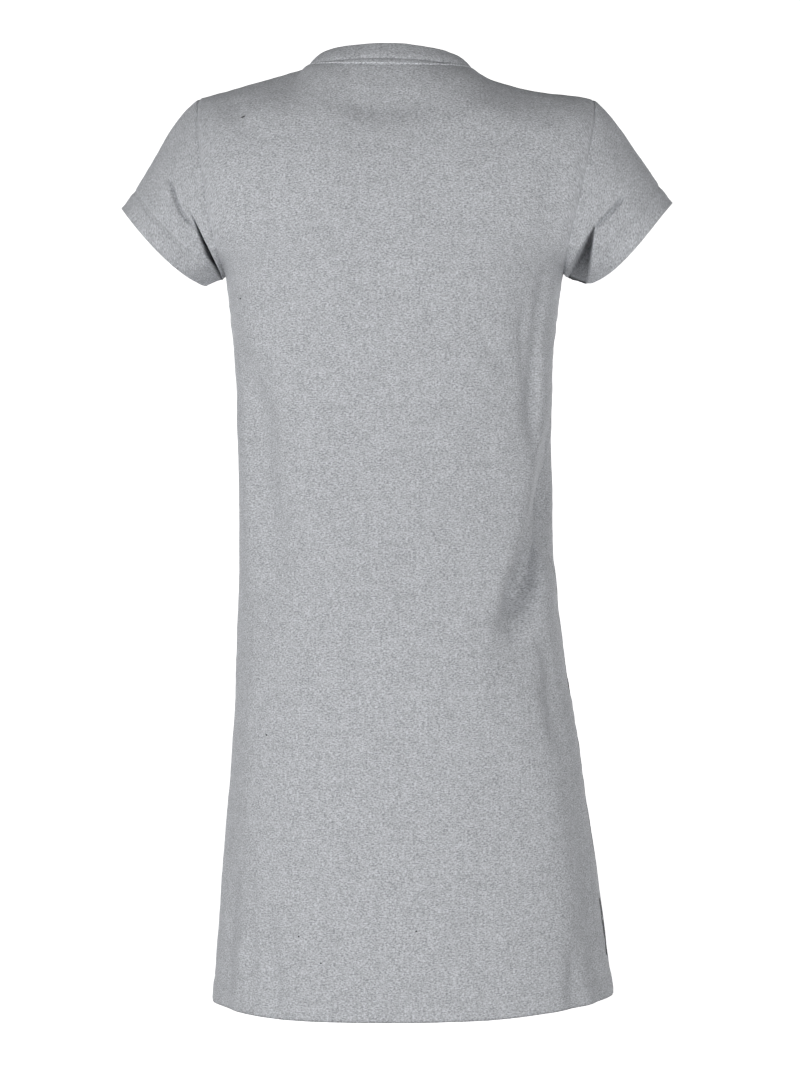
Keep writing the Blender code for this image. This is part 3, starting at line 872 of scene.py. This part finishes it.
def grey(value):
    """A heather grey, a little bluish."""
    return (value * 0.977, value, value * 1.048, 1.0)


HEATHER_DARK = 0.275
HEATHER_MIDDLE = 0.445
HEATHER_LIGHT = 0.620
GRAIN_SIZE = 640.0
MOTIF_COLOUR = (0.018, 0.019, 0.022, 1.0)


def cloth_look(name, tone=1.0, wale=0.00075, knit=0.25, motif=False):
    """Heather knit: mottled fibres, stocking-stitch relief and a soft nap."""
    web = Web(name)
    place = web.add("ShaderNodeTexCoord").outputs["UV"]
    grain = web.noise(place, GRAIN_SIZE, 2.0, 0.6)
    streak = web.noise(web.stretched(place, (420.0, 1000.0, 1.0)), 1.0, 1.0)
    blotch = web.noise(place, 150.0, 2.0)
    cloud = web.noise(place, 48.0, 1.0)
    mixed = web.weighted((grain, 0.42), (streak, 0.40), (blotch, 0.13), (cloud, 0.05))
    colour = web.ramp(mixed, (
        (0.395, grey(HEATHER_DARK * tone)),
        (0.50, grey(HEATHER_MIDDLE * tone)),
        (0.605, grey(HEATHER_LIGHT * tone)),
    )).outputs[0]
    if motif:
        mark = web.add("ShaderNodeAttribute", attribute_name="motif").outputs["Fac"]
        worn = web.noise(place, 900.0, 2.0)
        edge = web.math("MULTIPLY_ADD", worn.outputs[0], 0.0006, mark)
        inside = web.add("ShaderNodeMapRange", {0: edge, 1: 0.0006, 2: -0.0001, 3: 0.0, 4: 0.93})
        colour = web.mix(inside.outputs[0], colour, MOTIF_COLOUR)
    wales = web.add(
        "ShaderNodeTexWave",
        {"Vector": place, "Scale": 0.5 / wale, "Distortion": 0.6, "Detail": 1.0, "Detail Scale": 2.0},
        wave_type="BANDS", bands_direction="X", wave_profile="SIN",
    )
    fuzz = web.noise(place, 1400.0, 2.0, 0.7)
    height = web.weighted((fuzz, 0.5), (wales.outputs[1], knit), (grain, 0.6))
    bump = web.add("ShaderNodeBump", {"Strength": 0.55, "Distance": 0.00045, "Height": height})
    return web.finish({
        "Base Color": colour,
        "Normal": bump,
        "Roughness": web.add("ShaderNodeMapRange", {0: grain, 3: 0.86, 4: 0.98}),
        "Specular IOR Level": 0.18,
        "Sheen Weight": 0.22,
        "Sheen Roughness": 0.55,
        "Sheen Tint": (0.93, 0.95, 1.0, 1.0),
    })


def thread_look(name, value):
    web = Web(name)
    place = web.add("ShaderNodeTexCoord").outputs["Object"]
    twist = web.noise(place, 900.0, 2.0)
    return web.finish({
        "Base Color": web.ramp(twist, ((0.3, grey(value * 0.85)), (0.7, grey(value * 1.15)))),
        "Normal": web.add("ShaderNodeBump", {"Strength": 0.3, "Distance": 0.0002, "Height": twist}),
        "Roughness": 0.75,
    })


def plain_look(name, colour, glow):
    return Web(name).finish({
        "Base Color": colour,
        "Roughness": 0.9,
        "Specular IOR Level": 0.1,
        "Emission Color": colour,
        "Emission Strength": glow,
    })


# The dress
def build_skin():
    back = panel(1)
    front = panel(-1)
    return (
        Cloth("back_panel", back, False, True),
        Cloth("front_panel", front, False, False),
        Cloth("left_sleeve", sleeve(back, front, 1), True, False),
        Cloth("right_sleeve", sleeve(back, front, -1), True, True),
        Cloth("neck_rib", collar(back, front), True, True),
    )


SEAM_DEPTH = 0.0012
SEAM_WIDTH = 0.0015
COLLAR_SEAM_DEPTH = 0.0012
LEFT_VALLEY = 0.0004
RIGHT_VALLEY = 0.0007
VALLEY_WIDTH = 0.0055
PUCKER = 0.0003
PUCKER_REACH = 0.007
# Gathers beside seams, hems and cuffs: wave length and seed
SEAM_GATHERS = (0.013, 21)
HEM_GATHERS = (0.024, 22)
CUFF_GATHERS = (0.020, 23)
# Lengths over which creases fade beside an armhole, below a top edge and beside a sleeve's seam
CREASE_FADE_SIDE = 0.014
CREASE_FADE_TOP = 0.012
CREASE_FADE_CAP = 0.006
VALLEY_FADE = 0.030
STITCH_DEPTH = 0.0007
STITCH_WIDTH = 0.0011
NECK_ROW = 0.0066
NECK_ROW_DEPTH = 0.0007
NECK_ROW_WIDTH = 0.0011
HEM_PUFF = 0.0005
PUFF_FADE = 0.003
TWIN_ROWS = (0.0176, 0.0202)


def hem_relief(distance):
    """A turned hem is a little thicker than the cloth above it, and dips along its stitching."""
    puff = HEM_PUFF * smooth_step((TWIN_ROWS[1] - distance) / PUFF_FADE)
    dip = sum(ditch(distance - row, STITCH_DEPTH, STITCH_WIDTH) for row in TWIN_ROWS)
    return puff + dip


def puckers(points, distance, length, seed):
    """Small gathers beside a row of stitching."""
    field = waves(points, length, seed).reshape(distance.shape)
    return PUCKER * field * np.exp(-((distance / PUCKER_REACH) ** 2))


def relief(pieces, normals):
    """Moves every piece's points along the shared normals."""
    moved = []
    for piece, ways in zip(pieces, normals):
        grid = piece.grid
        points = grid.reshape(-1, 3)
        push = unevenness(points).reshape(grid.shape[:2])
        up = distances(grid, 0)
        down = distances(grid[::-1], 0)[::-1]
        if piece.name.endswith("panel"):
            across = distances(grid, 1)
            side = np.minimum(across, across[:, -1:] - across)
            creased = creases_at(points, BACK_CREASES, FRONT_CREASES).reshape(side.shape)
            rows_above = np.arange(len(grid)) > SKIRT_ROWS
            inside = np.where(rows_above[:, None], smooth_step(side / CREASE_FADE_SIDE), 1.0)
            push += creased * inside * smooth_step(down / CREASE_FADE_TOP)
            hand = np.where(np.arange(side.shape[1]) < HALF_COLUMNS, RIGHT_VALLEY, LEFT_VALLEY)
            rise = smooth_step((grid[..., 2] - UNDERARM) / VALLEY_FADE)
            push += ditch(side, hand, VALLEY_WIDTH) * rise * smooth_step(down / VALLEY_FADE)
            push += ditch(side, SEAM_DEPTH, SEAM_WIDTH) + ditch(down, SEAM_DEPTH, SEAM_WIDTH)
            neck = np.abs(np.arange(side.shape[1]) - HALF_COLUMNS) <= NECK_COLUMNS
            push += ditch(down - NECK_ROW - NECK_ROW_WIDTH, NECK_ROW_DEPTH, NECK_ROW_WIDTH) * neck
            push += puckers(points, np.minimum(side, down), *SEAM_GATHERS)
            push += hem_relief(up) + puckers(points, up, *HEM_GATHERS)
        elif piece.name.endswith("sleeve"):
            creased = creases_at(points, SLEEVE_BACK_CREASES, SLEEVE_FRONT_CREASES)
            push += creased.reshape(up.shape) * smooth_step(up / CREASE_FADE_CAP)
            push += ditch(up, SEAM_DEPTH, SEAM_WIDTH) + hem_relief(down)
            hand = LEFT_VALLEY if piece.name == "left_sleeve" else RIGHT_VALLEY
            low = grid[:1, :, 2]
            rise = smooth_step((low - UNDERARM) / VALLEY_FADE) * smooth_step((low.max() - low) / VALLEY_FADE)
            push += ditch(up, hand, VALLEY_WIDTH) * rise
            push += puckers(points, up, *SEAM_GATHERS) + puckers(points, down, *CUFF_GATHERS)
        else:
            push += ditch(up, COLLAR_SEAM_DEPTH, SEAM_WIDTH)
        shaped = grid + ways * push[..., None]
        pocket = POCKETS.get(piece.name)
        moved.append(sunk(shaped, pocket, up) if pocket else shaped)
    return moved


def edge_line(grid, ways, distance, from_end=False, columns=slice(None)):
    """Line on the cloth at a distance from its first or last row, and the normals along it."""
    if from_end:
        grid, ways = grid[::-1], ways[::-1]
    lengths = distances(grid, 0)
    points, normals = (at_distance(values, lengths, distance, columns) for values in (grid, ways))
    return points, unit(normals)


def collar_band(grid, ways):
    """The doubled rib: outer face, rounded fold and inner face, as one closed strip."""
    half = COLLAR_THICKNESS / 2
    rising = unit(grid[-1] - grid[-2])
    middle = grid[-1] - ways[-1] * half
    fold = [
        middle + half * (ways[-1] * math.cos(turn) + rising * math.sin(turn))
        for turn in np.linspace(0, math.pi, 8)[1:-1]
    ]
    inner = (grid - ways * COLLAR_THICKNESS)[::-1]
    return np.concatenate([grid, np.array(fold), inner])


def cloth_coordinates(grid, closed):
    """Knit coordinates in metres: across from the middle column and up from the first row."""
    across = distances(grid, 1)
    if not closed:
        across = across - across[:, grid.shape[1] // 2][:, None]
    up = distances(grid, 0)
    return np.stack([across, up], axis=-1)


def make_cloth(piece, grid, normals, look, hem_at_start=None):
    """Mesh of a piece, with its turned hem where it has one."""
    if piece.name == "neck_rib":
        grid = collar_band(grid, normals)
        coordinates = cloth_coordinates(grid, piece.closed)
    else:
        coordinates = cloth_coordinates(piece.grid, piece.closed)
    if hem_at_start is not None:
        order = slice(None, None, 1 if hem_at_start else -1)
        grid, coordinates = grid[order], coordinates[order]
        drop = np.array(HEM_ROWS[::-1])[:, None, None] * (0, -1 if hem_at_start else 1)
        grid = np.concatenate([turned_hem(grid, normals[order]), grid])[order]
        coordinates = np.concatenate([coordinates[:1] + drop, coordinates])[order]
    if piece.closed:
        closing = coordinates[:, :1] + 0.0
        closing[..., 0] = coordinates[:, -1:, 0] + np.linalg.norm(grid[:, :1] - grid[:, -1:], axis=2)
        grid = np.concatenate([grid, grid[:, :1]], axis=1)
        coordinates = np.concatenate([coordinates, closing], axis=1)
    faces = grid_faces(grid.shape[0], grid.shape[1], False, piece.flipped)
    spots = coordinates.reshape(-1, 2)
    made = new_object("cloth_" + piece.name, grid.reshape(-1, 3), faces, look, spots)
    if piece.name == "front_panel":
        mark = made.data.attributes.new("motif", "FLOAT", "POINT")
        mark.data.foreach_set("value", motif_distance(spots).astype(np.float32))
    return made


# Plain leaves printed low on the front: place from the middle of the hem, turn, length and width
Leaf = namedtuple("Leaf", "across up turn length width")
LEAVES = (
    Leaf(-0.245, 0.060, 112, 0.074, 0.021),
    Leaf(-0.170, 0.062, 62, 0.080, 0.020),
    Leaf(-0.220, 0.142, 104, 0.068, 0.015),
    Leaf(-0.170, 0.148, 58, 0.076, 0.018),
    Leaf(-0.224, 0.212, 104, 0.058, 0.014),
    Leaf(-0.182, 0.216, 66, 0.062, 0.015),
    Leaf(-0.206, 0.280, 86, 0.066, 0.015),
)
STEM = (-0.204, 0.030, 0.250, 0.0016)
STEM_SWAY = 0.004
STEM_WAVES = 28
VEIN = 0.0011


def motif_distance(spots):
    """Signed distance to the printed leaves, below zero inside them."""
    across, up = spots.T
    middle, low, high, half = STEM
    stem = np.abs(across - middle + STEM_SWAY * np.sin(up * STEM_WAVES)) - half
    nearest = np.maximum(stem, np.maximum(low - up, up - high))
    for leaf in LEAVES:
        turn = math.radians(leaf.turn)
        along = (across - leaf.across) * math.cos(turn) + (up - leaf.up) * math.sin(turn)
        aside = (up - leaf.up) * math.cos(turn) - (across - leaf.across) * math.sin(turn)
        reach = along / (leaf.length / 2)
        edge = np.abs(aside) - leaf.width * (1 - reach**2) * (1 - 0.25 * reach)
        blade = np.maximum(edge, VEIN - np.abs(aside) + 0.0012 * (reach + 1) - 0.0012)
        nearest = np.minimum(nearest, np.maximum(blade, np.abs(along) - leaf.length / 2))
    return np.clip(nearest, -0.01, 0.01)


# Record for the flat sizes of the cut pieces with their turned hems: width, length and area; nothing in the
# script fills it
Cut = namedtuple("Cut", "width length area held")

# Stitching: distances between stitches, length of each, thickness of the thread
Stitch = namedtuple("Stitch", "pitch length radius lift")
HEM_STITCH = Stitch(0.0031, 0.0025, 0.00028, -0.00002)
NECK_STITCH = Stitch(0.0034, 0.0027, 0.00050, 0.00020)


def stitching(name, rows, kind, look, closed):
    points, faces = joined([
        stitches_along(line, ways, kind.pitch, kind.length, kind.radius, kind.lift, closed)
        for line, ways in rows
    ])
    return new_object(name, points, faces, look)


# Thick dark neps in the yarn, at points seen in the photograph: right, up, length, turn
SLUBS = (
    (-140.8, -44.2, 4.2, 8),
    (-89.2, -798.6, 1.8, 70),
    (19.3, -793.0, 1.7, 20),
    (-119.6, -613.6, 1.6, -30),
    (-142.6, -212.5, 1.6, 40),
    (-68.1, -821.6, 1.4, 10),
)
SLUB_RADIUS = 0.00075


def slubs(grid, ways, look):
    """Dark neps lying in the surface of the back."""
    points, normals = grid.reshape(-1, 3), ways.reshape(-1, 3)
    seen = seen_back(points)
    neps = []
    for right, rise, length, turn in SLUBS:
        spot = np.array([right, rise]) * MILLIMETRE
        near = int(np.argmin(((seen - spot) ** 2).sum(axis=1)))
        turn = math.radians(turn)
        way = CAMERA_RIGHT * math.cos(turn) + np.array([0, 0, math.sin(turn)])
        half = unit(way - normals[near] * (way @ normals[near])) * length * MILLIMETRE / 2
        neps.append((points[near] - half, points[near] + half, normals[near]))
    return new_object("yarn_slubs", *spindles(*np.moveaxis(np.array(neps), 1, 0), SLUB_RADIUS), look)


STAGE_FLOOR = -1.40
STAGE_FLAT = 4.2
STAGE_CURVE = 1.3
STAGE_WALL = 3.4
STAGE_STEPS = 8
STAGE_SIDES = 64


def stage(look):
    """Pale floor that sweeps up into a round wall, and stands for the studio."""
    profile = [(radius, STAGE_FLOOR) for radius in (0.0, STAGE_FLAT * 0.5, STAGE_FLAT)]
    for step in range(1, STAGE_STEPS + 1):
        angle = math.pi / 2 * step / STAGE_STEPS
        rise = STAGE_CURVE * (1 - math.cos(angle))
        profile.append((STAGE_FLAT + STAGE_CURVE * math.sin(angle), STAGE_FLOOR + rise))
    profile.append((STAGE_FLAT + STAGE_CURVE, STAGE_FLOOR + STAGE_WALL))
    turns = [2 * math.pi * step / STAGE_SIDES for step in range(STAGE_SIDES)]
    points = [
        (radius * math.cos(turn), radius * math.sin(turn), height)
        for radius, height in profile for turn in turns
    ]
    floor = new_object("studio_floor", points, grid_faces(len(profile), STAGE_SIDES, True, False), look)
    floor.visible_diffuse = False
    floor.visible_shadow = False


def hung(data, place, facing):
    """Camera or light at a place, facing along a direction."""
    made = bpy.data.objects.new(data.name, data)
    made.location = place
    made.rotation_euler = facing.to_track_quat("-Z", "Y").to_euler()
    bpy.context.scene.collection.objects.link(made)
    return made


def soft_light(box):
    data = bpy.data.lights.new("soft_box", "AREA")
    data.shape = "RECTANGLE"
    data.size, data.size_y = SOFT_BOX_SIZE
    data.energy = box.power
    hung(data, box[:3], Vector(LIT_POINT) - Vector(box[:3]))


def set_up_camera():
    data = bpy.data.cameras.new("photo_camera")
    data.sensor_width = SENSOR
    data.lens = SENSOR * CAMERA_DISTANCE / VIEW_HEIGHT
    bpy.context.scene.camera = hung(data, CAMERA_PLACE, Vector(-CAMERA_BACK))


# Light from all round, by the height of its direction: from, to, and the light at each
CEILING_FALL = (-0.05, 0.75, 0.20, 0.07)

# Soft boxes: place and power; the front of the dress is lit as the back is
SoftBox = namedtuple("SoftBox", "x y z power")
SOFT_BOXES = (
    SoftBox(1.1, 2.2, -0.41, 25.6),
    SoftBox(-1.1, 2.2, -0.41, 19.1),
    SoftBox(0.0, 2.2, -1.1, 5.6),
    SoftBox(2.0, 0.5, -0.2, 11.0),
    SoftBox(-2.0, 0.5, -0.2, 6.2),
    SoftBox(1.1, -2.2, -0.2, 22.5),
    SoftBox(-1.1, -2.2, -0.2, 22.5),
    SoftBox(0.0, -2.2, -1.1, 9.0),
)
SOFT_BOX_SIZE = (0.9, 1.0)
LIT_POINT = (0.0, 0.0, -0.42)


def set_up_studio():
    scene = bpy.context.scene
    scene.view_settings.view_transform = "Standard"
    world = bpy.data.worlds.new("studio")
    world.use_nodes = True
    tree = world.node_tree
    place = tree.nodes.new("ShaderNodeTexCoord")
    split = tree.nodes.new("ShaderNodeSeparateXYZ")
    fall = tree.nodes.new("ShaderNodeMapRange")
    for input_number, value in zip((1, 2, 3, 4), CEILING_FALL):
        fall.inputs[input_number].default_value = value
    tree.links.new(place.outputs["Generated"], split.inputs[0])
    tree.links.new(split.outputs["Z"], fall.inputs[0])
    tree.links.new(fall.outputs[0], tree.nodes["Background"].inputs[0])
    scene.world = world
    stage(plain_look("studio_white", (0.93, 0.93, 0.93, 1.0), 1.12))
    for box in SOFT_BOXES:
        soft_light(box)


def main():
    set_up_camera()
    set_up_studio()
    jersey = cloth_look("heather_jersey")
    printed = cloth_look("heather_jersey_printed", motif=True)
    rib = cloth_look("heather_rib", tone=0.93, wale=0.0015, knit=0.9)

    pieces = build_skin()
    normals = shared_normals(pieces)
    grids = relief(pieces, normals)
    looks = (jersey, printed, jersey, jersey, rib)
    hems = (True, True, False, False, None)
    made, placed = {}, {}
    for piece, grid, ways, look, hem in zip(pieces, grids, normals, looks, hems):
        made[piece.name] = make_cloth(piece, grid, ways, look, hem)
        placed[piece.name] = grid, ways
    thread = thread_look("thread", 0.42)
    pale_thread = thread_look("pale_thread", 0.66)
    dark_thread = thread_look("dark_yarn", 0.035)
    trims = {name: [] for name in made}

    def sew(name, edge, rows, from_end, kind, look, closed=False, columns=slice(None)):
        """Stitching on a piece, at the given distances from one edge."""
        lines = [edge_line(*placed[name], row, from_end, columns) for row in rows]
        title = f"{name.split('_')[0]}_{edge}_stitching"
        trims[name].append(stitching(title, lines, kind, look, closed))

    neck_columns = slice(HALF_COLUMNS - NECK_COLUMNS + 2, HALF_COLUMNS + NECK_COLUMNS - 1)
    for name in ("back_panel", "front_panel"):
        sew(name, "hem", TWIN_ROWS, False, HEM_STITCH, thread)
        sew(name, "neck", (NECK_ROW,), True, NECK_STITCH, pale_thread, columns=neck_columns)
    for name in ("left_sleeve", "right_sleeve"):
        sew(name, "cuff", TWIN_ROWS, True, HEM_STITCH, thread, closed=True)
    trims["back_panel"].append(slubs(*placed["back_panel"], dark_thread))

    for name, cloth in made.items():
        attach(cloth, "root")
        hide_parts(name)
        for trim in trims[name]:
            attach(trim, "root")


main()
